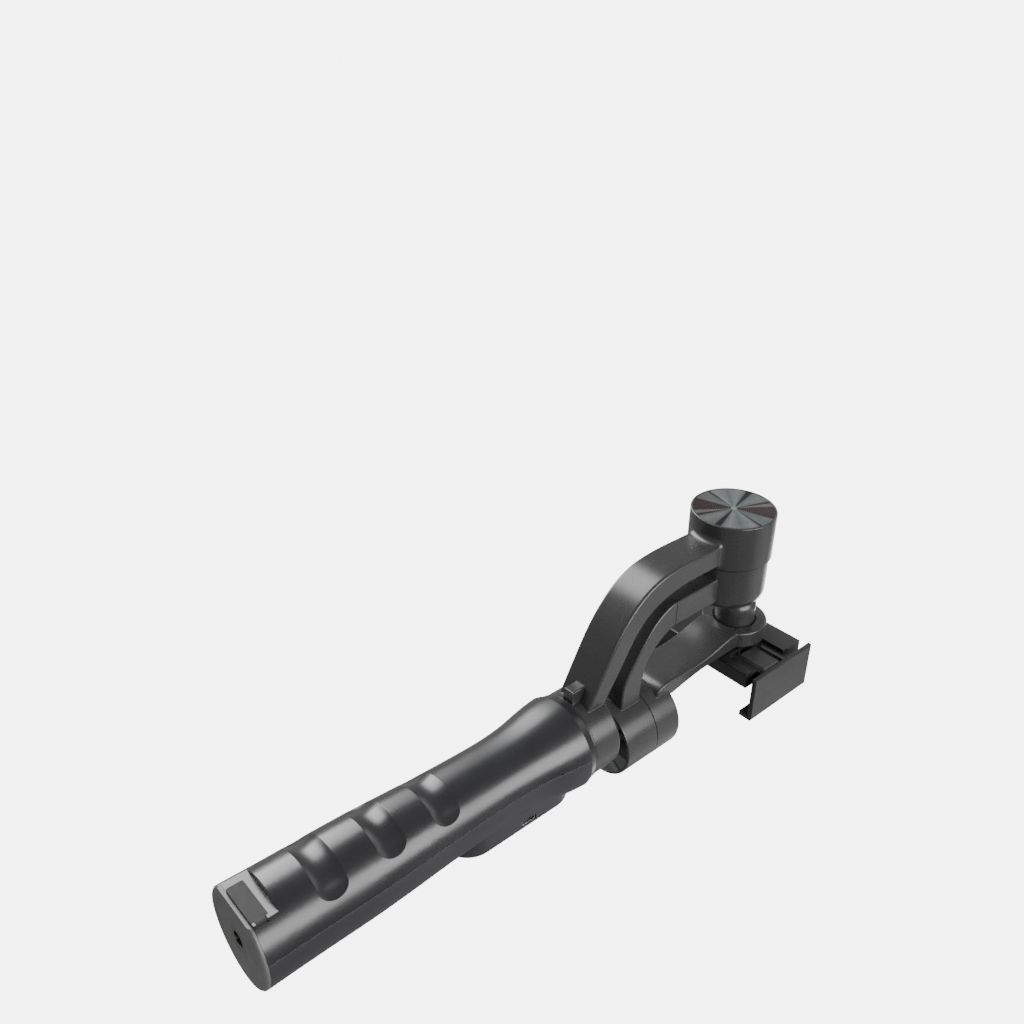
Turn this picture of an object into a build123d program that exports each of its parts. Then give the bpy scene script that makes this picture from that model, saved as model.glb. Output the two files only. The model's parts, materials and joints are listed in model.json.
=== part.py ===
from build123d import *
import math
import os

# Handheld three-axis camera gimbal, folded for storage, standing on its base.
# Frame: +Z runs up the handle, -Y is the front with the control panel, +X is the user's right.
# The origin is the centre of the base's underside. Lengths are in millimetres.

# Handle
BASE_R = 20.0                # radius of the foot of the grip
WAIST_R = 17.2               # slimmest radius, just above the fingers
WAIST_Z = 106.0
NECK_R = 21.1                # widest radius, at the motor chamber
NECK_Z = 151.5
RING_R = 19.9
GAP_Z = 156.0                # top of the handle, where the pan joint splits
WALL = 2.2
SEAM_Y = 4.0                 # front and rear shells meet here
BASE_T = 1.6
# Height, depth and scoop radius of each finger groove, and the degrees either side of the back
# before its rounded end
GROOVES = [(31.8, 1.5, 12.0, 42.5), (58.0, 1.6, 12.0, 37.5), (83.2, 1.3, 14.0, 41.0)]
SEAM_W = 0.3                 # parting groove between the shells

# Flat with the charging socket, low on the back
FLAT_Y = 16.0
FLAT_TOP = 11.6
SOCKET_X = -1.9
SOCKET_Z = 4.75
FLAP_PIN_X = -11.9

# Control panel
PANEL_Y = -21.2
PANEL_W = 23.0
PANEL_L = 61.4
PANEL_Z = 120.5
PANEL_T = 1.3
STICK_Z = 132.0
STICK_PIVOT_Y = -17.0
SHUTTER = (2.8, 117.0)       # X, Z
POWER = (3.1, 105.5)
ZOOM = (-5.7, 108.3)
SCREWS = [(6.5, 96.0), (-6.5, 96.0), (7.6, 124.0), (-7.6, 124.0)]
MICRO_Y = -17.6              # service socket in the side of the panel's pad
MICRO_Z = 123.5

# Motors: one design, used three times
MOTOR_R = 19.6
BELL_R = 16.4
CAVITY_R = 16.9
SHAFT_R = 2.5
RIM = 1.1                    # edge left around the spun disc that closes a motor housing
RUN = 0.03                   # radial running clearance of a shaft in its bearing
BEARING_R = 6.5
BOSS_R = 8.2
BELL_END = 13.7              # from the stator's base to the bell's outer face

# Pan joint and pan arm
COLLAR_R = 19.4
COLLAR_Z = 156.4
COLLAR_TOP = 170.5
PAN_SHAFT_TOP = 166.5
ARM_HALF = 9.0
ARM_BACK_Y = 68.2
ARM_T = 11.0

# Roll joint
ROLL_Z = 258.5
ROLL_CAP_Y = 77.0
ROLL_BASE_Y = 74.0
ROLL_GAP_Y = 55.0
DRUM_FRONT_Y = 31.0
DRUM_R = 18.5
BAR_HALF = 8.0
BAR_Y = (36.0, 49.0)
BAR_END_Z = 214.5
KNOB_Z = 223.0

# Tilt joint
TILT_Y = -12.0
TILT_CAP_Z = 177.0
TILT_BASE_Z = 180.0
TILT_GAP_Z = 195.6
TILT_TOP_Z = 211.0
TILT_R = 18.8

# Phone clamp
PIVOT_Z = 270.0              # the clamp turns here between landscape and portrait
PIVOT_R = 9.8
LOBE_R = 15.8
PADDLE_HALF = 11.0
PADDLE_FRONT_Y = 4.2
PADDLE_BACK_Y = 12.0
HUB_Y = 24.5
CLAMP_Z = 267.5
CLAMP_W = 42.0
BODY_HALF = 27.0
BODY_Y = (-5.0, 3.5)
JAW_X = 32.5
JAW_T = 2.0
JAW_L = 44.0
JAW_Z = 268.8
JAW_Y = (-21.5, 2.5)
LIP = 4.8
LIP_T = 2.5
RAIL_Y = (-3.0, 1.5)
RAIL_W = 25.0
SLACK = 0.2
JAW_SCREW_Z = (CLAMP_Z - 7, CLAMP_Z + 7)
SPRING_FIX_X = 21.0          # post on the clamp body
SPRING_FREE_X = -20.0        # post on the slide
SPRING_Z = 261.5


def block(x0, x1, y0, y1, z0, z1):
    """Box between two corners."""
    size = (x1 - x0, y1 - y0, z1 - z0)
    middle = ((x0 + x1) / 2, (y0 + y1) / 2, (z0 + z1) / 2)
    return Pos(*middle) * Box(*size)


def rod(r, z0, z1, x=0.0, y=0.0):
    """Upright cylinder."""
    return Pos(x, y, (z0 + z1) / 2) * Cylinder(r, z1 - z0)


def rod_y(r, y0, y1, x=0.0, z=0.0):
    """Cylinder along Y."""
    return Pos(x, (y0 + y1) / 2, z) * Rot(90, 0, 0) * Cylinder(r, y1 - y0)


def rod_x(r, x0, x1, y=0.0, z=0.0):
    """Cylinder along X."""
    return Pos((x0 + x1) / 2, y, z) * Rot(0, 90, 0) * Cylinder(r, x1 - x0)


def spun(points, floor, roof):
    """Solid of revolution about Z whose radius follows a smooth curve of (r, z) points."""
    curve = Spline(*[(r, z) for r, z in points])
    edges = [curve, Line((points[-1][0], roof), (0, roof)), Line((0, roof), (0, floor))]
    edges.append(Line((0, floor), (points[0][0], floor)))
    face = make_face([Plane.XZ * e for e in edges])
    return revolve(face, Axis.Z)


def side_plate(outer, inner, half):
    """Plate of width 2 x half whose side outline runs up one smooth curve and back down another."""
    up = Spline(*outer)
    down = Spline(*inner)
    edges = [up, Line(outer[-1], inner[0]), down, Line(inner[-1], outer[0])]
    face = make_face([Plane.YZ * e for e in edges])
    return extrude(face, amount=half, both=True)


def stadium(width, length, y0, y1, z):
    """Upright stadium-shaped plug between two Y planes."""
    plug = Rot(90, 0, 0) * extrude(SlotOverall(length, width, rotation=90), amount=y1 - y0)
    return Pos(0, y1, z) * plug


def write(node, *solids):
    """Write one node; several solids stay separate."""
    shape = solids[0] if len(solids) == 1 else Compound(children=list(solids))
    shape.label = node
    export_step(shape, f"parts/{node}.step")


GRIP = [(BASE_R, 0), (19.5, 26), (19.2, 52), (17.9, 81), (WAIST_R, WAIST_Z)]
GRIP += [(18.1, 130), (20.6, 146), (NECK_R, NECK_Z)]


def grip_solid(inset, floor):
    points = [(r - inset, z) for r, z in GRIP]
    return spun(points, 0, NECK_Z) - block(-30, 30, -30, 30, -1, floor)


def finger_groove(z, depth, radius, span):
    """Scoop wrapped round the back of the grip, with rounded ends at the sides."""
    reach = grip_radius(z) + radius - depth
    ring = revolve(Plane.XZ * Pos(reach, z) * Circle(radius), Axis.Z, revolution_arc=2 * span)
    scoop = Rot(0, 0, 90 - span) * ring
    for side in (-1, 1):
        angle = math.radians(90 + side * span)
        scoop += Pos(reach * math.cos(angle), reach * math.sin(angle), z) * Sphere(radius)
    return scoop


def grip_radius(z):
    """Radius of the grip at a height, straight between the outline's points."""
    for (r0, z0), (r1, z1) in zip(GRIP, GRIP[1:]):
        if z0 <= z <= z1:
            return r0 + (r1 - r0) * (z - z0) / (z1 - z0)


def socket_flat():
    return block(-25, 25, FLAT_Y, 30, -1, FLAT_TOP)


def handle_shells():
    skin = grip_solid(0, BASE_T)
    hollow = grip_solid(WALL, BASE_T) - block(-30, 30, 14.2, 30, 20, 97)
    pad = stadium(PANEL_W + 3, PANEL_L + 3, PANEL_Y + 0.3, -8, PANEL_Z)
    pad = fillet(pad.faces().sort_by(Axis.Y)[0].edges(), 1.2)
    outside = skin + pad
    front = outside - hollow
    front -= stadium(PANEL_W - 2.2, PANEL_L - 2.2, PANEL_Y - 1, 0, PANEL_Z)
    front -= stadium(PANEL_W + 0.2, PANEL_L + 0.2, PANEL_Y - 1, PANEL_Y + PANEL_T, PANEL_Z)
    for x, z in SCREWS:
        reach = sorted((math.copysign(11.0, x), x - math.copysign(2.2, x)))
        ear = block(*reach, -15, -13, z - 2.4, z + 2.4)
        front += (ear & outside) - rod_y(1.1, -16, -12, x, z)
    front -= block(-30, 30, SEAM_Y, 30, -1, 200)
    front -= block(-30, 30, -30, 30, NECK_Z, 200)
    front -= micro_socket_hole()
    band = block(-30, 30, SEAM_Y - SEAM_W / 2, SEAM_Y + SEAM_W / 2, BASE_T, NECK_Z)
    parting = (band & grip_solid(-1, 0)) - grip_solid(SEAM_W, 0)
    front -= parting
    rear = skin - hollow
    for groove in GROOVES:
        rear -= finger_groove(*groove)
    rear += block(-13.0, 13.0, 13.2, 19, BASE_T, FLAT_TOP + 2) & skin
    rear -= block(-30, 30, -30, SEAM_Y, -1, 200)
    for x, z in SCREWS:
        post = rod_y(2.0, -12.7, 14.5, x, z) & grip_solid(1.0, BASE_T)
        rear += post - rod_y(1.0, -14, -4.6, x, z)
    rear -= parting
    rear -= socket_flat()
    rear -= block(SOCKET_X - 6.6, SOCKET_X + 6.6, 5, FLAT_Y + 1, SOCKET_Z - 2.85, SOCKET_Z + 2.85)
    for z in (SOCKET_Z - 2.65, SOCKET_Z + 2.65):
        ear = block(FLAP_PIN_X - 0.8, FLAP_PIN_X + 0.8, FLAT_Y - 1, FLAT_Y + 1.5, z - 0.5, z + 0.5)
        rear += ear - rod(0.55, z - 1, z + 1, FLAP_PIN_X, FLAT_Y + 0.7)
    return front, rear


def micro_socket_hole():
    return block(-14, -9.5, MICRO_Y - 1.35, MICRO_Y + 1.35, MICRO_Z - 3.9, MICRO_Z + 3.9)


def screw(x, z):
    """Self-tapping screw that enters from the front."""
    head = rod_y(1.9, -16.3, -15, x, z) - rod_y(0.7, -16.4, -15.7, x, z)
    return head + rod_y(1.0, -15, -4.8, x, z)


def base_parts():
    plate = rod(BASE_R - 0.1, 0, BASE_T)
    plate = chamfer(plate.edges().sort_by(Axis.Z)[0], 0.7)
    plate += rod(16.9, BASE_T, 4.2) - rod(15.2, BASE_T, 4.2) - block(-30, 30, 7.5, 30, 0, 9)
    plate += rod(8.4, BASE_T, 8.0)
    plate -= rod(5.5, -1, 10)
    plate -= socket_flat()
    plate -= block(-30, 30, 8.5, 14, BASE_T, 9)
    insert = rod(5.5, 0, 9.0) - rod(3.175, -1, 10)
    insert += (rod(7.0, 8.0, 9.4) - rod(5.5, 7.0, 10)) - rod(3.175, 7, 10)
    return plate, insert


def socket_parts():
    x0, x1 = SOCKET_X - 6.5, SOCKET_X + 6.5
    z0, z1 = SOCKET_Z - 2.75, SOCKET_Z + 2.75
    shell = block(x0, x1, 8.8, FLAT_Y - 0.2, z0, z1)
    shell -= block(x0 + 0.4, x1 - 0.4, 9.4, FLAT_Y, z0 + 0.4, z1 - 0.4)
    tongue = block(SOCKET_X - 5.2, SOCKET_X + 5.2, 9.4, FLAT_Y - 2.6, SOCKET_Z + 0.3, SOCKET_Z + 1.6)
    flap = block(SOCKET_X - 9.4, SOCKET_X + 9.4, FLAT_Y + 0.2, FLAT_Y + 1.2, SOCKET_Z - 3.3, SOCKET_Z + 3.3)
    flap = fillet(flap.edges().filter_by(Axis.Y), 0.8)
    plug = block(SOCKET_X - 5.6, SOCKET_X + 5.6, FLAT_Y - 0.9, FLAT_Y + 0.2, SOCKET_Z - 1.9, SOCKET_Z + 1.9)
    flap += plug
    for z in (SOCKET_Z - 2.75, SOCKET_Z + 2.75):
        flap -= block(-13, FLAP_PIN_X + 1.1, FLAT_Y - 1, FLAT_Y + 2, z - 0.75, z + 0.75)
    flap += block(FLAP_PIN_X, FLAP_PIN_X + 1.5, FLAT_Y + 0.2, FLAT_Y + 1.2, SOCKET_Z - 1.9, SOCKET_Z + 1.9)
    flap += rod(0.5, SOCKET_Z - 3.2, SOCKET_Z + 3.2, FLAP_PIN_X, FLAT_Y + 0.7)
    return shell, tongue, flap


def micro_socket():
    shell = block(-12.6, -9.6, MICRO_Y - 1.3, MICRO_Y + 1.3, MICRO_Z - 3.8, MICRO_Z + 3.8)
    shell -= block(-13, -10.1, MICRO_Y - 0.95, MICRO_Y + 0.95, MICRO_Z - 3.4, MICRO_Z + 3.4)
    return shell


def battery_parts():
    cell = rod(9.25, 16.0, 81.0)
    cell = fillet(cell.edges(), 0.6)
    cradle = rod(10.9, 14.0, 83.5) - rod(9.4, 15.5, 82.0) - block(-20, 20, 1.5, 20, 10, 90)
    for z in (22.0, 48.0, 74.0):
        rib = block(-8, 8, -20, -10.4, z - 0.8, z + 0.8) & grip_solid(WALL, BASE_T)
        cradle += rib
    low = rod(6.0, 15.5, 16.0)
    high = rod(6.0, 81.0, 82.0)
    return cell, cradle, low, high


def panel_plate():
    plate = stadium(PANEL_W, PANEL_L, PANEL_Y, PANEL_Y + PANEL_T, PANEL_Z)
    plate = fillet(plate.faces().sort_by(Axis.Y)[0].edges(), 0.3)
    plate -= rod_y(9.2, PANEL_Y - 1, 0, 0, STICK_Z)
    plate -= rod_y(3.25, PANEL_Y - 1, 0, *SHUTTER)
    plate -= rod_y(3.75, PANEL_Y - 1, 0, *POWER)
    plate -= block(ZOOM[0] - 1.2, ZOOM[0] + 1.2, PANEL_Y - 1, 0, ZOOM[1] - 5.1, ZOOM[1] + 5.1)
    return plate


def stick_parts():
    pivot = STICK_PIVOT_Y
    module = block(-5.5, 5.5, -15.8, -14.8, STICK_Z - 5, STICK_Z + 4.6)
    for z0, z1 in ((STICK_Z - 5, STICK_Z - 4.2), (STICK_Z + 3.8, STICK_Z + 4.6)):
        module += block(-1.6, 1.6, -18.2, -15.8, z0, z1)
    ring = rod_y(3.6, pivot - 0.7, pivot + 0.7, 0, STICK_Z) - rod_y(2.4, -20, -14, 0, STICK_Z)
    skirt = rod_y(10.2, PANEL_Y + PANEL_T, -18.7, 0, STICK_Z) - rod_y(9.2, -21, -19.2, 0, STICK_Z)
    skirt -= rod_y(5.2, -21, -18, 0, STICK_Z)
    dome = Pos(0, -10.6, STICK_Z) * Sphere(16.0)
    dome &= rod_y(7.9, -30, -21.8, 0, STICK_Z)
    dome -= rod_y(6.6, -22.8, -21, 0, STICK_Z)
    dome += rod_y(1.6, -24.0, pivot + 0.4, 0, STICK_Z)
    return module, ring, skirt, dome


def key(x, z, r, proud):
    """Round button with a retaining collar under the panel."""
    cap = rod_y(r, PANEL_Y - proud, -19.4, x, z)
    cap = fillet(cap.faces().sort_by(Axis.Y)[0].edges(), 0.35)
    return cap + rod_y(r + 0.7, -19.8, -19.0, x, z)


def zoom_parts():
    x, z = ZOOM
    cap = block(x - 1.9, x + 1.9, PANEL_Y - 1.5, PANEL_Y - 0.15, z - 3.2, z + 3.2)
    for i in range(-1, 2):
        cap -= block(x - 2, x + 2, PANEL_Y - 2, PANEL_Y - 1.2, z + 1.6 * i - 0.3, z + 1.6 * i + 0.3)
    cap += block(x - 0.9, x + 0.9, PANEL_Y - 0.15, -18.4, z - 1.7, z + 1.7)
    switch = block(x - 2.4, x + 2.4, -17.4, -14.6, z - 5, z + 5)
    switch -= block(x - 1.2, x + 1.2, -18, -16.2, z - 4.4, z + 4.4)
    cap += block(x - 0.6, x + 0.6, -18.4, -16.6, z - 0.8, z + 0.8)
    return cap, switch


def board_parts():
    board = block(-9.4, 9.4, -14.6, -13.2, 99.5, 120.5)
    chips = block(-4, 4, -13.2, -12.0, 108, 116)
    switches = []
    for x, z in (SHUTTER, POWER):
        body = block(x - 2, x + 2, -16.6, -14.6, z - 2, z + 2)
        switches.append(body + rod_y(0.9, -18.2, -16.6, x, z))
    return board, chips, switches


def top_ring():
    """Cover ring of the handle; its web carries the pan bearings."""
    ring = rod(RING_R, NECK_Z, GAP_Z)
    skirt = Pos(0, 0, NECK_Z) * extrude(Circle(NECK_R), amount=3.6, taper=18)
    ring += skirt
    ring -= rod(16.0, NECK_Z + 1.8, GAP_Z + 1)
    ring += rod(BOSS_R, NECK_Z - 10, NECK_Z)
    ring -= rod(BEARING_R, NECK_Z - 11, NECK_Z)
    ring -= rod(SHAFT_R + 1.0, NECK_Z - 1, GAP_Z)
    return ring


def stop_finger():
    """Fixed pan stop that bridges the pan gap at the front."""
    finger = block(-2.0, 2.0, -23.0, -20.2, COLLAR_Z + 0.2, COLLAR_Z + 6.4)
    finger += block(-2.0, 2.0, -23.0, -19.9, 152.2, COLLAR_Z + 0.2)
    finger = fillet(finger.faces().sort_by(Axis.Y)[0].edges(), 0.5)
    body = extrude(Pos(0, 0, NECK_Z) * Circle(NECK_R), amount=3.6, taper=18)
    return finger - rod(RING_R, 140, GAP_Z) - body


def motor(place, shaft_from, shaft_to):
    """Stator, magnets, bell, shaft and two bearings; local z runs from the stator's base to the bell."""
    core = rod(14.0, 1.0, 11.0) - rod(BOSS_R, 0, 12)
    slots = 9
    for i in range(slots):
        core -= Rot(0, 0, 360 / slots * i) * block(10.2, 15, -1.0, 1.0, 0, 12)
    magnets = rod(15.4, 1.2, 11.5) - rod(14.5, 0, 12)
    bell = rod(BELL_R, 0.9, BELL_END) - rod(15.4, 0, 12.5) - rod(SHAFT_R, 0, 15)
    shaft = rod(SHAFT_R, shaft_from, shaft_to)
    bearings = []
    for z in (0.0, 6.0):
        bearings.append(place * (rod(BEARING_R, z, z + 4) - rod(SHAFT_R + RUN, z - 1, z + 5)))
    return place * core, place * magnets, place * bell, place * shaft, bearings


def pan_arm():
    arm_outer = [(15, 158.6), (22, 162.2), (29, 165.9), (38.5, 171.2), (48, 177.2), (54.5, 182.7)]
    arm_outer += [(59.8, 188.3), (64, 194.9), (66.5, 201.6), (67.8, 210), (ARM_BACK_Y, 220), (ARM_BACK_Y, 246)]
    arm_inner = [(57.2, 246), (57.2, 227), (56.6, 214), (54.3, 203.5), (50.3, 195), (44.8, 189)]
    arm_inner += [(37, 183.5), (29, 178.6), (22, 174), (15, 169.5)]
    arm = side_plate(arm_outer, arm_inner, ARM_HALF)
    arm = fillet(arm.edges().filter_by(lambda e: e.length > 60), 1.3)
    housing = rod_y(MOTOR_R, ROLL_GAP_Y + 0.2, ROLL_CAP_Y, 0, ROLL_Z)
    housing = fillet(housing.faces().sort_by(Axis.Y)[-1].edges(), 0.5)
    arm += housing
    arm = fillet(arm.edges().filter_by(in_arm_corner), 3.0)
    arm -= rod(16.5, 150, COLLAR_TOP - 3)
    collar = rod(COLLAR_R, COLLAR_Z, COLLAR_TOP)
    collar = fillet(collar.edges().sort_by(Axis.Z)[-1], 1.2)
    collar -= rod(16.5, COLLAR_Z - 1, COLLAR_TOP - 3)
    collar += rod(6.0, COLLAR_Z + 1.6, COLLAR_TOP - 3)
    for i in range(3):
        spot = Rot(0, 0, 90 + 120 * i) * Pos(12, 0, 0)
        collar += spot * rod(1.4, 162.2, COLLAR_TOP - 3)
    solid = collar + arm + lug()
    solid -= rod(SHAFT_R, 150, COLLAR_TOP - 2)
    place = Pos(0, ROLL_BASE_Y, ROLL_Z) * Rot(90, 0, 0)
    return drilled_housing(solid, place, ROLL_BASE_Y - ROLL_GAP_Y, MOTOR_R)


def in_arm_corner(edge):
    """True for the edges of the inner corner between the pan arm and the roll motor's housing."""
    middle = edge.center()
    low = ROLL_Z - MOTOR_R - 3
    return low < middle.Z < low + 8 and 55 < middle.Y < ARM_BACK_Y + 1 and edge.length < 25


def drilled_housing(solid, place, depth, radius):
    """Hollow a motor housing and leave its bearing boss and cap recess."""
    cavity = rod(CAVITY_R, 0, depth + 1) - rod(BOSS_R, 0, 10)
    solid -= place * cavity
    solid -= place * rod(BEARING_R, 0, 11)
    return solid - place * rod(radius - RIM, -3.1, -2.2)


def lug():
    """Moving pan stop on the back of the collar."""
    stop = block(-2.7, 2.7, 18.6, 25.6, 156.6, 164.2)
    return fillet(stop.faces().sort_by(Axis.Y)[-1].edges(), 0.6)


def roll_arm():
    """Rotor drum of the roll motor with the square sleeve that the tilt arm slides in."""
    drum = rod_y(DRUM_R, DRUM_FRONT_Y, ROLL_GAP_Y - 0.2, 0, ROLL_Z)
    drum = fillet(drum.faces().sort_by(Axis.Y)[0].edges(), 7.0)
    bar = block(-BAR_HALF, BAR_HALF, *BAR_Y, BAR_END_Z, 246)
    bar = fillet(bar.edges().filter_by(Axis.Z), 1.0)
    solid = drum + bar
    solid -= rod_y(15.5, DRUM_FRONT_Y + 7, 51.5, 0, ROLL_Z)
    solid -= rod_y(10.5, DRUM_FRONT_Y, DRUM_FRONT_Y + 8, 0, ROLL_Z)
    solid -= rod_y(11.5, DRUM_FRONT_Y - 1, DRUM_FRONT_Y + 1.2, 0, ROLL_Z)
    solid += rod_y(5.0, 47.5, 52.0, 0, ROLL_Z)
    solid += rod_y(10.0, ROLL_GAP_Y - 1, ROLL_BASE_Y - BELL_END, 0, ROLL_Z)
    solid -= block(-5.2, 5.2, 38.6, 46.4, BAR_END_Z - 1, 238)
    solid -= rod_y(SHAFT_R, 50, 70, 0, ROLL_Z)
    solid -= rod_y(1.5, 30, 39, 0, KNOB_Z)
    cover = rod_y(11.4, DRUM_FRONT_Y + 0.1, DRUM_FRONT_Y + 1.2, 0, ROLL_Z)
    return solid, cover


def lock_knob():
    knob = rod_y(4.6, 31.6, 35.8, 0, KNOB_Z)
    ribs = 18
    for i in range(ribs):
        angle = 2 * math.pi * i / ribs
        knob -= rod_y(0.45, 31, 35, 4.7 * math.cos(angle), KNOB_Z + 4.7 * math.sin(angle))
    return knob + rod_y(1.45, 35.8, 38.4, 0, KNOB_Z)


def tilt_arm():
    outer = [(0, 182.0), (9, 182.2), (18, 183.2), (24, 186.6), (31.5, 191.6), (38.5, 196.9), (43.5, 201.8)]
    outer += [(47.2, 207.5), (49, 214.2)]
    inner = [(36, 214.2), (34.4, 209), (31.5, 204.2), (27, 199.8), (21.5, 196.6), (15, 194.9), (8, 194.4)]
    inner.append((0, 194.2))
    hook = side_plate(outer, inner, BAR_HALF)
    hook = fillet(hook.edges().filter_by(lambda e: e.length > 35), 1.0)
    tongue = block(-5.0, 5.0, 38.8, 46.2, 212, 233.5)
    drum = rod(TILT_R, TILT_CAP_Z, TILT_GAP_Z, 0, TILT_Y)
    drum = fillet(drum.edges().sort_by(Axis.Z)[0], 0.5)
    solid = drum + hook + tongue
    depth = TILT_GAP_Z - TILT_BASE_Z
    return drilled_housing(solid, Pos(0, TILT_Y, TILT_BASE_Z), depth, TILT_R)


def clamp_arm():
    """Rotor of the tilt motor with the paddle that carries the clamp's pivot."""
    drum = rod(TILT_R, TILT_GAP_Z + 0.4, TILT_TOP_Z, 0, TILT_Y)
    drum = fillet(drum.edges().sort_by(Axis.Z)[-1], 1.2)
    boss = rod(10.0, TILT_BASE_Z + BELL_END, TILT_GAP_Z + 1, 0, TILT_Y)
    back = [(4.2, 202.4), (7.0, 204.8), (8.0, 209), (8.0, 222), (8.3, 236), (9.6, 244), (11.4, 251.5)]
    back.append((PADDLE_BACK_Y, 260))
    front = [(PADDLE_FRONT_Y, 260), (PADDLE_FRONT_Y, 248), (4.1, 237), (3.3, 228), (2.0, 220), (0.6, 211.5)]
    front.append((0.0, 202.4))
    paddle = side_plate(back, front, PADDLE_HALF)
    paddle = fillet(paddle.edges().filter_by(lambda e: e.length > 57.9 and e.center().Y > 5), 1.0)
    lobe = rod_y(LOBE_R, PADDLE_FRONT_Y, PADDLE_BACK_Y, 0, PIVOT_Z)
    lobe = fillet(lobe.faces().sort_by(Axis.Y)[-1].edges(), 0.9)
    solid = drum + boss + paddle + lobe
    solid -= rod_y(PIVOT_R + RUN, 0, 20, 0, PIVOT_Z)
    solid -= rod_y(PIVOT_R + 0.9, PADDLE_BACK_Y - 1.6, 20, 0, PIVOT_Z)
    solid -= rod(SHAFT_R, 190, 204, 0, TILT_Y)
    solid -= rod(12.0, 205, 220, 0, TILT_Y - 2.5)
    cover = rod(11.9, TILT_TOP_Z - 1.2, TILT_TOP_Z - 0.1, 0, TILT_Y - 2.5)
    board = rod(10.5, 206.0, 207.2, 0, TILT_Y - 2.5)
    board += block(-3, 3, TILT_Y - 6, TILT_Y, 207.2, 208.2)
    for angle in (0.5, 2.6, 4.7):
        solid += rod(1.2, 205, 206.0, 7 * math.cos(angle), TILT_Y - 2.5 + 7 * math.sin(angle))
    return solid, cover, board


def clamp_hub():
    """Round hub on the back of the clamp that turns in the paddle."""
    hub = rod_y(PIVOT_R, BODY_Y[1], HUB_Y, 0, PIVOT_Z)
    hub = fillet(hub.faces().sort_by(Axis.Y)[-1].edges(), 5.0)
    return hub - rod_y(5.0, BODY_Y[1], HUB_Y - 4, 0, PIVOT_Z)


def clamp_body():
    low, high = CLAMP_Z - CLAMP_W / 2, CLAMP_Z + CLAMP_W / 2
    body = block(-BODY_HALF, BODY_HALF, *BODY_Y, low, high)
    body = fillet(body.edges().filter_by(Axis.X), 1.0)
    body -= block(-BODY_HALF - 1, 24, *RAIL_Y, CLAMP_Z - RAIL_W / 2, CLAMP_Z + RAIL_W / 2)
    window = block(-BODY_HALF - 9, -12.5, RAIL_Y[1], 5, low + 4.0, high - 13.5)
    body -= fillet(window.edges().filter_by(Axis.Y), 3.0)
    body += block(BODY_HALF, JAW_X - JAW_T, *RAIL_Y, CLAMP_Z - RAIL_W / 2, CLAMP_Z + RAIL_W / 2)
    body += rod_y(1.2, RAIL_Y[0], RAIL_Y[1], SPRING_FIX_X, SPRING_Z)
    for z in JAW_SCREW_Z:
        body -= rod_x(1.0, 25, JAW_X, -0.75, z)
    return body


def jaw(side):
    """Side wall with an inward lip. The fixed jaw (side 1) is screwed on, the moving one pinned."""
    z0, z1 = JAW_Z - JAW_L / 2, JAW_Z + JAW_L / 2
    xs = sorted((side * (JAW_X - JAW_T), side * JAW_X))
    wall = block(*xs, *JAW_Y, z0, z1)
    tips = sorted((side * (JAW_X - JAW_T - LIP), side * JAW_X))
    wall += block(*tips, JAW_Y[0], JAW_Y[0] + LIP_T, z0, z1)
    wall = fillet(wall.faces().sort_by(Axis.X)[0 if side < 0 else -1].edges(), 0.7)
    outer = JAW_X + 1 if side > 0 else JAW_X - 0.6
    for z in JAW_SCREW_Z:
        wall -= rod_x(1.0, *sorted((side * (JAW_X - JAW_T - 1), side * outer)), -0.75, z)
        if side > 0:
            wall -= rod_x(1.8, JAW_X - 1.3, JAW_X + 1, -0.75, z)
    pads = sorted((side * (JAW_X - JAW_T), side * (JAW_X - JAW_T - 1.5)))
    pad = block(*pads, JAW_Y[0] + LIP_T + 0.4, BODY_Y[0] - 1.6, z0 + 2.5, z1 - 2.5)
    fasteners = []
    for z in JAW_SCREW_Z:
        if side > 0:
            screw = rod_x(1.7, JAW_X - 1.3, JAW_X - 0.2, -0.75, z) + rod_x(1.0, 25.0, JAW_X - 1.3, -0.75, z)
            fasteners.append(screw - rod_x(0.6, JAW_X - 0.9, JAW_X, -0.75, z))
        else:
            fasteners.append(rod_x(1.0, -JAW_X + 0.6, -25.0, -0.75, z))
    return wall, pad, fasteners


def clamp_slide():
    """Tongue of the moving jaw, with a raised cover and a rib that show in the body's window."""
    half = RAIL_W / 2 - SLACK
    end = -(JAW_X - JAW_T)
    back = RAIL_Y[1] - SLACK
    slide = block(end, 17.0, RAIL_Y[0] + SLACK, back, CLAMP_Z - half, CLAMP_Z + half)
    slide -= block(SPRING_FREE_X - 2.0, 18, -5, 5, SPRING_Z - 3.0, SPRING_Z + 3.0)
    slide += rod_y(1.2, RAIL_Y[0] + SLACK, back, SPRING_FREE_X, SPRING_Z)
    cover = block(end, -14.0, back, back + 1.6, SPRING_Z - 5.5, SPRING_Z + 6.8)
    slide += chamfer(cover.faces().sort_by(Axis.Y)[-1].edges(), 1.2)
    slide += block(end, -17.0, back, back + 1.2, SPRING_Z + 8.6, SPRING_Z + 10.2)
    for z in JAW_SCREW_Z:
        slide -= rod_x(1.0, end - 1, -25, -0.75, z)
    return slide


def clamp_spring():
    """Closing spring between the slide's post and the body's post."""
    start = SPRING_FREE_X + 1.3
    length = SPRING_FIX_X - 1.3 - start
    path = Helix(pitch=length / 18, height=length, radius=1.35)
    coil = sweep(Plane(origin=path @ 0, z_dir=path % 0) * Circle(0.3), path=path)
    return Pos(start, -0.75, SPRING_Z) * Rot(0, 90, 0) * coil


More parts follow.
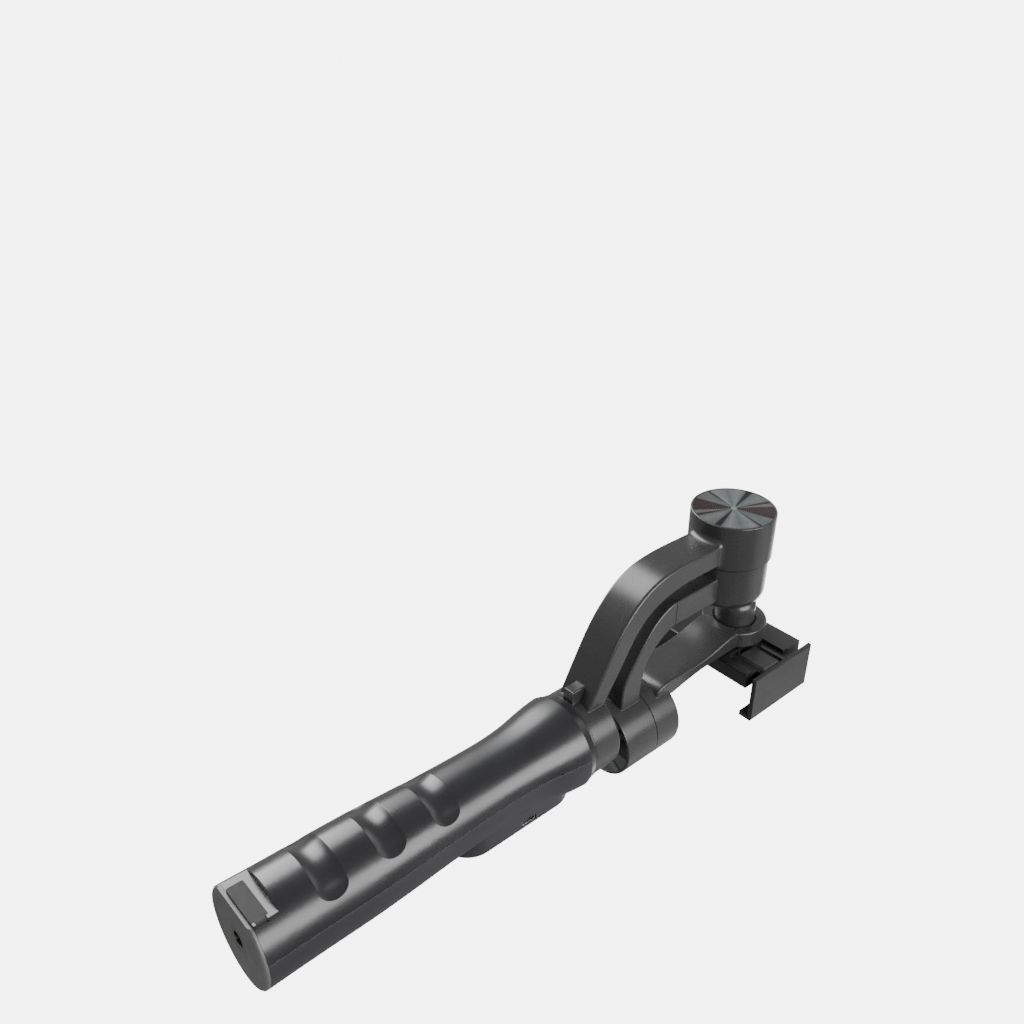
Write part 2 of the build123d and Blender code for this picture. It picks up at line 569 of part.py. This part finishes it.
def build():
    os.makedirs("parts", exist_ok=True)
    front, rear = handle_shells()
    write("front_shell", front)
    write("rear_shell", rear)
    plate, insert = base_parts()
    write("base_plate", plate)
    write("tripod_insert", insert)
    shell, tongue, flap = socket_parts()
    write("usb_sockets", shell, tongue, micro_socket())
    write("usb_cover", flap)
    cell, cradle, low, high = battery_parts()
    write("battery_cell", cell)
    write("battery_cradle", cradle)
    write("battery_contacts", low, high)
    write("shell_screws", *[screw(x, z) for x, z in SCREWS])
    write("control_panel", panel_plate())
    module, ring, skirt, dome = stick_parts()
    write("joystick_module", module)
    write("joystick_ring", ring)
    write("joystick_skirt", skirt)
    write("joystick_cap", dome)
    write("shutter_button", key(*SHUTTER, 3.0, 1.1))
    power = key(*POWER, 3.5, 0.9) - rod_y(0.9, PANEL_Y - 2, PANEL_Y + 0.4, *POWER)
    write("power_button", power)
    write("status_light", rod_y(0.9, PANEL_Y - 0.6, PANEL_Y + 0.4, *POWER))
    slider, zoom_switch = zoom_parts()
    write("zoom_slider", slider)
    board, chips, switches = board_parts()
    write("main_board", board + chips)
    write("panel_switches", zoom_switch, *switches)
    write("top_ring", top_ring())
    write("pan_stop_finger", stop_finger())

    pan = motor(Pos(0, 0, NECK_Z) * Rot(180, 0, 0), NECK_Z - PAN_SHAFT_TOP, BELL_END)
    write_motor("pan", pan)
    write("pan_arm", pan_arm())
    disc = rod(15.6, 161.0, 162.2) - rod(6.4, 160, 163)
    write("pan_driver_board", disc)

    roll = motor(Pos(0, ROLL_BASE_Y, ROLL_Z) * Rot(90, 0, 0), 0.4, ROLL_BASE_Y - 50)
    write_motor("roll", roll)
    write("roll_motor_cap", rod_y(MOTOR_R - RIM - 0.1, ROLL_CAP_Y - 0.8, ROLL_CAP_Y - 0.1, 0, ROLL_Z))
    arm, cover = roll_arm()
    write("roll_arm", arm)
    write("roll_front_cover", cover)
    write("lock_knob", lock_knob())

    tilt = motor(Pos(0, TILT_Y, TILT_BASE_Z), 0.4, 24.0)
    write_motor("tilt", tilt)
    write("tilt_motor_cap", rod(TILT_R - RIM - 0.1, TILT_CAP_Z + 0.1, TILT_CAP_Z + 0.8, 0, TILT_Y))
    write("tilt_arm", tilt_arm())

    arm, cover, imu = clamp_arm()
    write("clamp_arm", arm)
    write("tilt_inner_cover", cover)
    write("motion_sensor_board", imu)
    write("clamp_hub", clamp_hub())
    write("clamp_body", clamp_body())
    rest = block(-25.5, 25.5, BODY_Y[0] - 1.2, BODY_Y[0], CLAMP_Z - 18, CLAMP_Z + 18)
    write("clamp_back_pad", fillet(rest.edges().filter_by(Axis.Y), 2.0))
    write("clamp_slide", clamp_slide())
    write("clamp_spring", clamp_spring())
    for side, name, fastener in ((1, "fixed_jaw", "screws"), (-1, "moving_jaw", "pins")):
        wall, pad, fasteners = jaw(side)
        write(name, wall)
        write(name + "_pad", pad)
        write(f"{name}_{fastener}", *fasteners)


def write_motor(name, parts):
    core, magnets, bell, shaft, bearings = parts
    write(name + "_motor_stator", core)
    write(name + "_motor_magnets", magnets)
    write(name + "_motor_bell", bell)
    write(name + "_motor_shaft", shaft)
    write(name + "_motor_bearings", *bearings)


build()
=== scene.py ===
import json
import math

import bpy
from mathutils import Matrix, Vector


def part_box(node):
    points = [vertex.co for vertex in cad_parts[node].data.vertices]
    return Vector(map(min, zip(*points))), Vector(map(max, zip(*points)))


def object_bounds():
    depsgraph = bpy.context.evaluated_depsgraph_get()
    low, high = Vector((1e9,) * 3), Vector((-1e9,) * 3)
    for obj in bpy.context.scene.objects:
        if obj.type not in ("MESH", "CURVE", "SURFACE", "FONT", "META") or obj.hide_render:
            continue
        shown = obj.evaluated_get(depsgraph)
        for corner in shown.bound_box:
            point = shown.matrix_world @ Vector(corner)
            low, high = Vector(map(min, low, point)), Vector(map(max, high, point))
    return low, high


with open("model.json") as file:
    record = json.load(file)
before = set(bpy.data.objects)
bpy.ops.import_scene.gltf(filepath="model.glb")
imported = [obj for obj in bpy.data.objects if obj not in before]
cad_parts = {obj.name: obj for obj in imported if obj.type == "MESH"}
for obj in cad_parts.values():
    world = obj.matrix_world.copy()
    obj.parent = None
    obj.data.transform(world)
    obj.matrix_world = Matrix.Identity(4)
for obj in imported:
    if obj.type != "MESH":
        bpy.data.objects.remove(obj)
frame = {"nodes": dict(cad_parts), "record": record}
NODES = frame["nodes"]
cad_low, cad_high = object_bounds()
MM = 0.001
PER_MM = 1000.0


# ---------------------------------------------------------------- node helpers

class Net:
    """Small wrapper that adds nodes to one material and links them."""

    def __init__(self, name):
        self.material = bpy.data.materials.new(name)
        self.material.use_nodes = True
        self.tree = self.material.node_tree
        self.tree.nodes.clear()
        self.out = self.add("ShaderNodeOutputMaterial")
        self.shader = self.add("ShaderNodeBsdfPrincipled")
        self.link(self.shader.outputs[0], self.out.inputs["Surface"])

    def add(self, kind, **fields):
        node = self.tree.nodes.new(kind)
        for key, value in fields.items():
            setattr(node, key, value)
        return node

    def link(self, source, target):
        self.tree.links.new(source, target)

    def set(self, **values):
        for key, value in values.items():
            self.shader.inputs[key.replace("_", " ")].default_value = value

    def coords(self, stretch=(1, 1, 1)):
        """Object coordinates in millimetres, stretched per axis."""
        base = self.add("ShaderNodeTexCoord")
        mapping = self.add("ShaderNodeMapping")
        mapping.inputs["Scale"].default_value = [PER_MM * s for s in stretch]
        self.link(base.outputs["Object"], mapping.inputs["Vector"])
        return mapping.outputs[0]

    def axes(self):
        """Object X, Y and Z in metres."""
        base = self.add("ShaderNodeTexCoord")
        split = self.add("ShaderNodeSeparateXYZ")
        self.link(base.outputs["Object"], split.inputs[0])
        return split.outputs

    def noise(self, vector, scale, detail=3.0, roughness=0.5):
        node = self.add("ShaderNodeTexNoise")
        node.inputs["Scale"].default_value = scale
        node.inputs["Detail"].default_value = detail
        node.inputs["Roughness"].default_value = roughness
        self.link(vector, node.inputs["Vector"])
        return node.outputs["Fac"]

    def cells(self, vector, scale, **fields):
        """Distances of a cell pattern."""
        node = self.add("ShaderNodeTexVoronoi", **fields)
        node.inputs["Scale"].default_value = scale
        self.link(vector, node.inputs["Vector"])
        return node.outputs["Distance"]

    def ramp(self, value, *stops):
        """Colour ramp with (position, colour) stops; a number stands for a grey."""
        node = self.add("ShaderNodeValToRGB")
        elements = node.color_ramp.elements
        while len(elements) < len(stops):
            elements.new(0.5)
        for element, (position, colour) in zip(elements, stops):
            if isinstance(colour, (int, float)):
                colour = (colour, colour, colour)
            element.position = position
            element.color = (*colour, 1.0)
        self.link(value, node.inputs["Fac"])
        return node.outputs["Color"]

    def range(self, value, low, high, from_low=0.0, from_high=1.0):
        """Map from_low..from_high to low..high, clamped."""
        node = self.add("ShaderNodeMapRange")
        node.inputs["From Min"].default_value = from_low
        node.inputs["From Max"].default_value = from_high
        node.inputs["To Min"].default_value = low
        node.inputs["To Max"].default_value = high
        self.link(value, node.inputs["Value"])
        return node.outputs[0]

    def math(self, operation, a, b=None):
        node = self.add("ShaderNodeMath", operation=operation)
        for socket, value in zip(node.inputs, (a, b)):
            if value is None:
                continue
            if isinstance(value, (int, float)):
                socket.default_value = value
            else:
                self.link(value, socket)
        return node.outputs[0]

    def plus(self, a, b):
        return self.math("ADD", a, b)

    def minus(self, a, b):
        return self.math("SUBTRACT", a, b)

    def times(self, a, b):
        return self.math("MULTIPLY", a, b)

    def length(self, u, v):
        """Length of the flat vector u, v."""
        return self.math("SQRT", self.plus(self.times(u, u), self.times(v, v)))

    def mix(self, factor, a, b):
        """Colour a where factor is 0, b where it is 1."""
        node = self.add("ShaderNodeMix", data_type="RGBA")
        for name, value in (("Factor", factor), ("A", a), ("B", b)):
            socket = [s for s in node.inputs if s.name == name and s.enabled][0]
            if isinstance(value, tuple):
                socket.default_value = (*value, 1.0)
            else:
                self.link(value, socket)
        return [s for s in node.outputs if s.enabled][0]

    def colour(self, value):
        self.link(value, self.shader.inputs["Base Color"])

    def rough(self, value):
        self.link(value, self.shader.inputs["Roughness"])

    def bump(self, *layers, base=None):
        """Stack of (height, strength, distance in mm) bumps over an optional base normal."""
        last = base
        for height, strength, distance in layers:
            node = self.add("ShaderNodeBump")
            node.inputs["Strength"].default_value = strength
            node.inputs["Distance"].default_value = distance * MM
            self.link(height, node.inputs["Height"])
            if last is not None:
                self.link(last, node.inputs["Normal"])
            last = node.outputs[0]
        self.link(last, self.shader.inputs["Normal"])

    def rounded(self, radius):
        """Normal that rounds every edge by a radius in millimetres."""
        node = self.add("ShaderNodeBevel", samples=4)
        node.inputs["Radius"].default_value = radius * MM
        return node.outputs[0]

    def edges(self, radius):
        """1 along the edges, 0 on open faces."""
        geometry = self.add("ShaderNodeNewGeometry")
        same = self.add("ShaderNodeVectorMath", operation="DOT_PRODUCT")
        self.link(self.rounded(radius), same.inputs[0])
        self.link(geometry.outputs["Normal"], same.inputs[1])
        return self.range(same.outputs["Value"], 1.0, 0.0, 0.86, 0.995)

    def scratches(self, vector):
        """Sparse hairlines in two directions, 1 on a hairline."""
        lines = []
        for turn, seed in ((0.5, 0.0), (2.1, 7.0)):
            mapping = self.add("ShaderNodeMapping")
            mapping.inputs["Rotation"].default_value = (turn, turn * 1.7, turn * 0.6)
            mapping.inputs["Location"].default_value = (seed, seed, seed)
            mapping.inputs["Scale"].default_value = (2.6, 0.05, 0.05)
            self.link(vector, mapping.inputs["Vector"])
            streak = self.noise(mapping.outputs[0], 1.0, 1.0)
            lines.append(self.range(streak, 0.0, 1.0, 0.79, 0.82))
        return self.math("MAXIMUM", *lines)


def tinted(colour, factor):
    return tuple(min(1.0, c * factor) for c in colour)


# ---------------------------------------------------------------- materials

def moulded(name, colour, rough, grain=2.6, depth=0.014, radius=0.35, edge_glint_and_wear=0.5,
            coat=0.0, smear=0.07, shade_line_y=None):
    """Moulded or painted shell with handling smears, hairlines and paler edges; the paler edges
    are a painted edge highlight mixed with patchy wear.

    grain is the pitch and depth the height in mm of the spark-eroded grain, radius rounds
    the edges, and shade_line_y is the place of a painted shadow line across Y, in metres,
    standing in for the shade in the joint between two parts.
    """
    net = Net(name)
    vector = net.coords()
    cloud = net.range(net.noise(vector, 0.03, 3.0, 0.6), 0.0, 1.0, 0.3, 0.7)
    body = net.mix(cloud, tinted(colour, 0.88), tinted(colour, 1.14))
    speck = net.range(net.noise(vector, 1.3, 2.0, 0.7), 0.0, 0.3, 0.55, 0.8)
    body = net.mix(speck, body, tinted(colour, 1.7))
    # Paler edges: a painted edge highlight, broken up into patches like wear.
    patch = net.range(net.noise(vector, 0.22, 3.0, 0.7), 0.35, 1.0, 0.35, 0.65)
    glint_and_wear_edges = net.times(net.times(net.edges(radius * 1.2), patch), edge_glint_and_wear)
    body = net.mix(glint_and_wear_edges, body, tuple(c * 1.8 + 0.035 for c in colour))

    touch = net.noise(net.coords((1, 1, 0.4)), 0.09, 5.0, 0.62)
    smears = net.range(touch, rough - smear, rough + smear, 0.3, 0.7)
    roughness = net.plus(smears, net.times(net.scratches(vector), 0.12))

    # Painted shadow: a near-black, rough line across Y where two parts meet, standing in for
    # the shade in the joint.
    if shade_line_y is not None:
        gap = net.math("ABSOLUTE", net.minus(net.axes()[1], shade_line_y))
        line = net.range(gap, 1.0, 0.0, 0.9 * MM, 1.1 * MM)
        body = net.mix(line, body, (0.001, 0.001, 0.001))
        roughness = net.math("MAXIMUM", roughness, line)

    net.colour(body)
    net.rough(roughness)
    fine = net.noise(vector, grain, 2.0, 0.6)
    broad = net.noise(vector, 0.12, 2.0)
    net.bump((broad, 0.25, 0.02), (fine, 0.5, depth), base=net.rounded(radius))
    net.set(Coat_Weight=coat, Coat_Roughness=max(0.08, rough - 0.1))
    return net.material


# Colours of the painted reflections on the spun discs.
GREEN, PALE, BEIGE = (0.17, 0.20, 0.195), (0.30, 0.32, 0.335), (0.21, 0.19, 0.18)
BROWN, DARK, BLACK = (0.052, 0.032, 0.028), (0.022, 0.019, 0.019), (0.006, 0.008, 0.008)
BRIGHT_GREEN = (0.22, 0.25, 0.24)
DISC_REFLECTION_SECTORS = (             # painted reflection of the room in the bright-cut metal, in degrees within the half turn that repeats
    (0, GREEN), (9, GREEN), (10.5, BLACK), (12.5, BLACK), (14, BEIGE),
    (20, PALE), (40, GREEN), (58, PALE), (68, GREEN), (71, BLACK),
    (78, BLACK), (81, GREEN), (98, BRIGHT_GREEN), (109, GREEN), (111, DARK),
    (115, DARK), (117, BEIGE), (124, BEIGE), (128, DARK), (136, BROWN),
    (152, BROWN), (161, DARK), (165, BEIGE), (170, GREEN), (180, GREEN),
)
RING_PITCH = 0.8 * MM        # turning marks of the spun discs
EYE_INNER, EYE_OUTER = 1.0 * MM, 1.6 * MM
DISC_AXES = {"y": (0, 2), "z": (0, 1)}


def spun_disc(name, centre, axis, turn):
    """Bright-cut aluminium disc with a painted reflection: light, brown and black sectors, and
    fine rings that are brighter only where they would catch the light.
    """
    net = Net(name)
    place = net.axes()
    first, second = DISC_AXES[axis]
    u = net.minus(place[first], centre[first])
    v = net.minus(place[second], centre[second])
    radius = net.length(u, v)
    angle = net.math("ARCTAN2", v, u)
    half_turns = net.plus(net.times(angle, 1.0 / math.pi), 2.0 - turn / 180.0)
    around = net.math("FRACT", half_turns)
    reflection_sectors = net.ramp(around, *[(degrees / 180.0, colour) for degrees, colour in DISC_REFLECTION_SECTORS])

    rings = net.math("SINE", net.times(radius, 2 * math.pi / RING_PITCH))
    # Painted glint: the turning rings stand out only in the part of each half turn where they
    # would catch the light.
    ring_glint = net.ramp(around, (0.0, 0.15), (0.06, 0.15), (0.12, 1.0),
                      (0.35, 1.0), (0.42, 0.1), (1.0, 0.1))
    swing = net.times(net.times(rings, ring_glint), 0.26)
    haze = net.range(net.noise(net.coords(), 0.25, 3.0), -0.12, 0.12, 0.3, 0.7)
    level = net.times(net.plus(net.plus(swing, 0.92), haze), 0.62)
    shade = net.add("ShaderNodeHueSaturation")
    net.link(level, shade.inputs["Value"])
    net.link(reflection_sectors, shade.inputs["Color"])
    eye = net.range(radius, 0.0, 1.0, EYE_INNER, EYE_OUTER)
    net.colour(net.mix(eye, (0.26, 0.27, 0.27), shade.outputs[0]))
    net.rough(net.range(rings, 0.26, 0.36, -1.0, 1.0))
    net.bump((rings, 0.3, 0.012))
    net.set(Metallic=0.55)
    return net.material


def metal(name, colour, rough_low, rough_high):
    """Machined metal with fine marks."""
    net = Net(name)
    brushed = net.noise(net.coords(), 2.0, 3.0)
    net.colour(net.mix(net.range(brushed, 0.0, 0.35), colour, tinted(colour, 0.6)))
    net.rough(net.range(brushed, rough_low, rough_high))
    net.bump((brushed, 0.3, 0.01), base=net.rounded(0.15))
    net.set(Metallic=1.0)
    return net.material


def rubber(name, colour, rough):
    """Soft rubber: fine pebble grain and dusty hollows."""
    net = Net(name)
    vector = net.coords()
    pebble = net.cells(vector, 2.2)
    dust = net.noise(vector, 0.3, 4.0, 0.7)
    net.colour(net.mix(net.range(dust, 0.0, 0.6, 0.4, 0.7), colour, tinted(colour, 1.6)))
    net.rough(net.range(dust, rough - 0.06, rough + 0.06, 0.35, 0.65))
    net.bump((pebble, 0.35, 0.03), base=net.rounded(0.3))
    net.set(Specular_IOR_Level=0.22)
    return net.material


BORDER_INSET = 1.5 * MM      # printed border of the control panel
LINE_CORE, LINE_EDGE = 0.10 * MM, 0.22 * MM


def panel_finish(name, low, high):
    """Light satin plate with a fine printed border a little inside its rounded outline."""
    net = Net(name)
    x, _, z = net.axes()
    middle_x, middle_z = (low[0] + high[0]) / 2, (low[2] + high[2]) / 2
    round_r = (high[0] - low[0]) / 2
    straight = (high[2] - low[2]) / 2 - round_r
    dx = net.minus(x, middle_x)
    beyond = net.minus(net.math("ABSOLUTE", net.minus(z, middle_z)), straight)
    reach = net.length(dx, net.math("MAXIMUM", beyond, 0.0))
    offset = net.math("ABSOLUTE", net.minus(reach, round_r - BORDER_INSET))
    line = net.range(offset, 1.0, 0.0, LINE_CORE, LINE_EDGE)

    vector = net.coords()
    cloud = net.noise(vector, 0.06, 3.0)
    fine = net.noise(vector, 3.2, 2.0)
    tone = net.range(cloud, 0.0, 1.0, 0.3, 0.7)
    body = net.mix(tone, (0.50, 0.50, 0.505), (0.56, 0.56, 0.565))
    body = net.mix(net.range(fine, 0.0, 0.25, 0.5, 0.8), body, (0.68, 0.68, 0.68))
    net.colour(net.mix(net.times(line, 0.75), body, (0.16, 0.16, 0.165)))
    net.rough(net.range(cloud, 0.34, 0.44, 0.3, 0.7))
    net.bump((line, -0.5, 0.06), (fine, 0.4, 0.012), base=net.rounded(0.25))
    return net.material


def satin(name, colour, rough):
    """Fine satin paint on small keys."""
    net = Net(name)
    vector = net.coords()
    cloud = net.noise(vector, 0.25, 3.0)
    fine = net.noise(vector, 3.6, 2.0)
    tone = net.range(cloud, 0.0, 1.0, 0.3, 0.7)
    net.colour(net.mix(tone, tinted(colour, 0.93), tinted(colour, 1.07)))
    net.rough(net.range(cloud, rough - 0.04, rough + 0.05, 0.3, 0.7))
    net.bump((fine, 0.4, 0.012), base=net.rounded(0.25))
    return net.material


def tinted_lens(name, colour):
    """Clear tinted lens over a small status lamp."""
    net = Net(name)
    haze = net.noise(net.coords(), 1.2, 2.0)
    net.colour(net.mix(haze, colour, tinted(colour, 0.7)))
    net.rough(net.range(haze, 0.06, 0.16))
    net.bump((haze, 0.2, 0.02))
    net.set(Coat_Weight=0.6, Coat_Roughness=0.05)
    return net.material


def circuit(name, colour):
    """Solder-masked board with fine paler tracks."""
    net = Net(name)
    vector = net.coords()
    track = net.range(net.cells(vector, 0.5, feature="DISTANCE_TO_EDGE"), 1.0, 0.0, 0.03, 0.06)
    net.colour(net.mix(net.times(track, 0.5), colour, tinted(colour, 2.6)))
    net.rough(net.range(net.noise(vector, 0.5), 0.32, 0.5))
    net.bump((track, 0.4, 0.03))
    return net.material


ARM_LOOK = dict(colour=(0.026, 0.026, 0.026), rough=0.27, grain=2.2, depth=0.007,
                radius=0.45, edge_glint_and_wear=0.4, smear=0.03)

by_slot = {
    "grip_front": moulded("grip_front", (0.021, 0.021, 0.0245), 0.44,
                          grain=2.4, depth=0.020, radius=0.30, edge_glint_and_wear=0.35),
    "grip_rear": moulded("grip_rear", (0.012, 0.012, 0.0135), 0.29,
                         grain=2.0, depth=0.010, radius=0.30, edge_glint_and_wear=0.35,
                         coat=0.15, smear=0.05),
    "base_black": moulded("base_black", (0.095, 0.095, 0.095), 0.44,
                          grain=2.4, depth=0.020, radius=0.30),
    "insert_brass": metal("insert_brass", (0.10, 0.095, 0.085), 0.32, 0.45),
    "trim_black": moulded("trim_black", (0.013, 0.013, 0.014), 0.32, depth=0.012, radius=0.25),
    "flap_rubber": rubber("flap_rubber", (0.026, 0.026, 0.027), 0.62),
    "steel": metal("steel", (0.55, 0.55, 0.56), 0.2, 0.35),
    "panel_grey": panel_finish("panel_grey", *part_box("control_panel")),
    "button_grey": satin("button_grey", (0.5, 0.5, 0.505), 0.36),
    "stick_grey": satin("stick_grey", (0.23, 0.235, 0.24), 0.3),
    "light_lens": tinted_lens("light_lens", (0.25, 0.5, 0.62)),
    "cell_can": moulded("cell_can", (0.03, 0.12, 0.3), 0.3,
                        grain=1.0, depth=0.01, radius=0.3, edge_glint_and_wear=0.2),
    "board_green": circuit("board_green", (0.01, 0.09, 0.03)),
    "arm_alloy": moulded("arm_alloy", **ARM_LOOK),
    "motor_core": metal("motor_core", (0.4, 0.2, 0.1), 0.35, 0.5),
    "magnet": metal("magnet", (0.3, 0.3, 0.31), 0.25, 0.4),
    "bell": metal("bell", (0.42, 0.42, 0.43), 0.25, 0.4),
    "clamp_black": moulded("clamp_black", (0.009, 0.009, 0.0095), 0.36,
                           grain=2.8, depth=0.024, radius=0.25),
    "slide_grey": moulded("slide_grey", (0.026, 0.026, 0.028), 0.32,
                          grain=2.4, depth=0.012, radius=0.30),
    "pad_rubber": rubber("pad_rubber", (0.020, 0.020, 0.020), 0.66),
    "screw_black": metal("screw_black", (0.08, 0.08, 0.082), 0.3, 0.42),
}
DISCS = (                    # node, axis, turn of its painted reflection sectors in degrees
    ("roll_motor_cap", "y", 0.0),
    ("roll_front_cover", "y", 40.0),
    ("tilt_motor_cap", "z", 25.0),
    ("tilt_inner_cover", "z", 70.0),
)

slots = {entry["node"]: entry["material_slot"] for entry in frame["record"]["subparts"]}
joints = {joint["name"]: joint for joint in frame["record"]["behaviour"]["joints"]}


def centre_of(node):
    low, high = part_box(node)
    return [(a + b) / 2 for a, b in zip(low, high)]


by_node = {}
for node, axis, turn in DISCS:
    by_node[node] = spun_disc(node, centre_of(node), axis, turn)
# The roll arm's drum gets a painted shadow line where it meets the pan arm's housing.
by_node["roll_arm"] = moulded("roll_arm", shade_line_y=joints["roll_hinge"]["pos_m"][1], **ARM_LOOK)

for name, obj in NODES.items():
    obj.data.materials.clear()
    obj.data.materials.append(by_node.get(name) or by_slot[slots[name]])
    for polygon in obj.data.polygons:
        polygon.material_index = 0


# ---------------------------------------------------------------- stage

FLOOR_SIZE = 6.0
FLOOR_DROP = 0.0003          # just under the foot
FLOOR_GLOW = 2.6             # keeps the far floor as pale as the near floor


def floor_material():
    """Pale matt floor that only the camera sees, and only from above.

    It hides nothing from a low camera and no light from the object.
    """
    net = Net("floor")
    grain = net.noise(net.coords(), 0.02, 3.0)
    net.colour(net.mix(net.range(grain, 0.0, 0.15), (0.40, 0.40, 0.40), (0.38, 0.38, 0.38)))
    net.rough(net.range(grain, 0.7, 0.8))
    net.set(Emission_Color=(1.0, 1.0, 1.0, 1.0), Emission_Strength=FLOOR_GLOW)
    geometry = net.add("ShaderNodeNewGeometry")
    path = net.add("ShaderNodeLightPath")
    unseen = net.minus(1.0, path.outputs["Is Camera Ray"])
    clear = net.add("ShaderNodeBsdfTransparent")
    both = net.add("ShaderNodeMixShader")
    net.link(net.math("MAXIMUM", geometry.outputs["Backfacing"], unseen), both.inputs[0])
    net.link(net.shader.outputs[0], both.inputs[1])
    net.link(clear.outputs[0], both.inputs[2])
    net.link(both.outputs[0], net.out.inputs["Surface"])
    return net.material


bpy.ops.mesh.primitive_plane_add(size=FLOOR_SIZE, location=(0, 0, cad_low[2] - FLOOR_DROP))
floor = bpy.context.object
floor.name = "floor"
floor.data.materials.append(floor_material())


# ---------------------------------------------------------------- lights

ROOM_LIGHT = 0.36            # dim surround that the object reflects
SWEEP_LIGHT = 7.5            # the bright white sweep behind it

world = bpy.data.worlds.new("world")
bpy.context.scene.world = world
world.use_nodes = True
tree = world.node_tree
room = tree.nodes["Background"]
room.inputs["Color"].default_value = (1.0, 1.0, 1.0, 1.0)
room.inputs["Strength"].default_value = ROOM_LIGHT
sweep = tree.nodes.new("ShaderNodeBackground")
sweep.inputs["Strength"].default_value = SWEEP_LIGHT
path = tree.nodes.new("ShaderNodeLightPath")
blend = tree.nodes.new("ShaderNodeMixShader")
tree.links.new(path.outputs["Is Camera Ray"], blend.inputs[0])
tree.links.new(room.outputs[0], blend.inputs[1])
tree.links.new(sweep.outputs[0], blend.inputs[2])
tree.links.new(blend.outputs[0], tree.nodes["World Output"].inputs["Surface"])

AIM = Vector((0.0, 0.022, 0.15))             # middle of the folded gimbal


def fade_borders(data, across, up):
    """Fade a rectangular light towards its borders; across and up are shares of its sides."""
    data.use_nodes = True
    nodes, links = data.node_tree.nodes, data.node_tree.links
    place = nodes.new("ShaderNodeNewGeometry")
    split = nodes.new("ShaderNodeSeparateXYZ")
    links.new(place.outputs["Parametric"], split.inputs[0])
    whole = nodes.new("ShaderNodeMath")
    whole.operation = "MULTIPLY"
    for index, share in enumerate((across, up)):
        fold = nodes.new("ShaderNodeMath")
        fold.operation = "PINGPONG"
        fold.inputs[1].default_value = 0.5
        links.new(split.outputs[index], fold.inputs[0])
        ease = nodes.new("ShaderNodeMapRange")
        ease.interpolation_type = "SMOOTHSTEP"
        ease.inputs["From Max"].default_value = share
        links.new(fold.outputs[0], ease.inputs["Value"])
        links.new(ease.outputs[0], whole.inputs[index])
    links.new(whole.outputs[0], nodes["Emission"].inputs["Strength"])


def softbox(name, azimuth, elevation, distance, size, radiance, fade=(0.2, 0.3)):
    """Rectangular soft light; azimuth runs from +Y towards +X, in degrees."""
    width, height = size
    a, e = math.radians(azimuth), math.radians(elevation)
    away = Vector((math.sin(a) * math.cos(e), math.cos(a) * math.cos(e), math.sin(e)))
    data = bpy.data.lights.new(name, "AREA")
    data.shape = "RECTANGLE"
    data.size = width
    data.size_y = height
    data.energy = radiance * math.pi * width * height
    fade_borders(data, *fade)
    light = bpy.data.objects.new(name, data)
    light.location = AIM + away * distance
    light.rotation_euler = away.to_track_quat("Z", "Y").to_euler()
    light.visible_camera = False
    bpy.context.collection.objects.link(light)


softbox("back_box", 50, 1, 1.0, (1.15, 1.0), 12.5, fade=(0.25, 0.35))
softbox("side_box", 289, 8, 1.0, (0.68, 1.4), 10.0)
softbox("left_fill", 225, 38, 1.0, (1.2, 0.8), 0.5)
softbox("front_box", 160, 52, 1.2, (0.9, 0.7), 3.5)
softbox("top_fill", 20, 72, 1.2, (1.2, 0.9), 1.6)


# ---------------------------------------------------------------- camera

# Viewpoint fitted to the gimbal's own lines: low, behind it and to its left.
VIEW_FROM = Vector((-0.2346, 0.3005, -0.0763))
AHEAD = Vector((0.659, -0.495, 0.566)).normalized()
RIGHT = Vector((-0.652, 0.001, 0.759))
SENSOR_WIDTH = 36.0
FOCAL_LENGTH = 35.1
NEAR_CLIP = 0.01

lens = bpy.data.cameras.new("camera")
lens.sensor_width = SENSOR_WIDTH
lens.lens = FOCAL_LENGTH
lens.clip_start = NEAR_CLIP
camera = bpy.data.objects.new("camera", lens)
right = (RIGHT - AHEAD * RIGHT.dot(AHEAD)).normalized()
up = right.cross(AHEAD)
turned = Matrix((right, up, -AHEAD)).transposed().to_4x4()
camera.matrix_world = Matrix.Translation(VIEW_FROM) @ turned
bpy.context.collection.objects.link(camera)
bpy.context.scene.camera = camera
